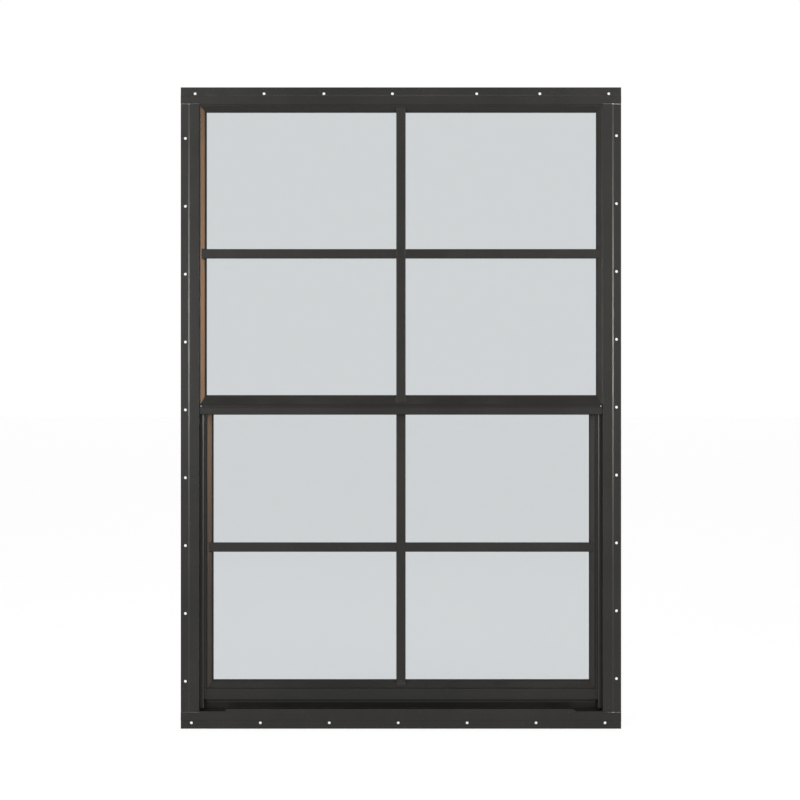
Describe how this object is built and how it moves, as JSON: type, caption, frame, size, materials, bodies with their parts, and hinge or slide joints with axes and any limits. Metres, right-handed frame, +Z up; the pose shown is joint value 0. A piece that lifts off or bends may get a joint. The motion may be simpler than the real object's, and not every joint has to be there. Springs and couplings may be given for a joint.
{
  "type": "single hung window",
  "caption": "Single hung window with a nailing fin, a fixed upper light, a lower sash that slides up behind it, and surface grille bars on both lights.",
  "frame": {"origin": "on the back of the nailing fin, at mid width on the fin's bottom edge", "axes": "+Z up, +Y towards the inside of the building, square to the fin's back; the outside faces -Y and +X is to the right as seen from outside"},
  "size_m": [0.654, 0.0444, 0.9525],
  "materials": {
    "frame_paint": "satin",
    "sash_paint": "satin",
    "bead_paint": "satin",
    "grille_paint": "satin",
    "glass": "gloss",
    "gasket_rubber": "matte",
    "glazing_tape": "matte",
    "latch_plastic": "matte",
    "pile": "matte",
    "seal_rubber": "matte"
  },
  "bodies": {
    "root": {"frame_head": "frame_paint", "frame_sill": "frame_paint", "frame_jamb_left": "frame_paint", "frame_jamb_right": "frame_paint", "meeting_rail": "frame_paint", "upper_glass": "glass", "upper_gasket": "gasket_rubber", "upper_tape": "glazing_tape", "upper_bead_left": "bead_paint", "upper_bead_right": "bead_paint", "upper_bead_head": "bead_paint", "upper_bead_bottom": "bead_paint", "sash_stile_left": "sash_paint", "sash_stile_right": "sash_paint", "sash_top_rail": "sash_paint", "sash_bottom_rail": "sash_paint", "lower_glass": "glass", "lower_gasket": "gasket_rubber", "lower_tape": "glazing_tape", "lower_bead_left": "bead_paint", "lower_bead_right": "bead_paint", "lower_bead_top": "bead_paint", "lower_bead_bottom": "bead_paint", "upper_grille_upright": "grille_paint", "upper_grille_crossbar": "grille_paint", "lower_grille_upright": "grille_paint", "lower_grille_crossbar": "grille_paint", "sash_latch_left": "latch_plastic", "sash_latch_right": "latch_plastic", "front_pile_left": "pile", "front_pile_right": "pile", "rear_pile_left": "pile", "rear_pile_right": "pile", "meeting_rail_pile": "pile", "sill_seal": "seal_rubber"}
  },
  "joints": []
}
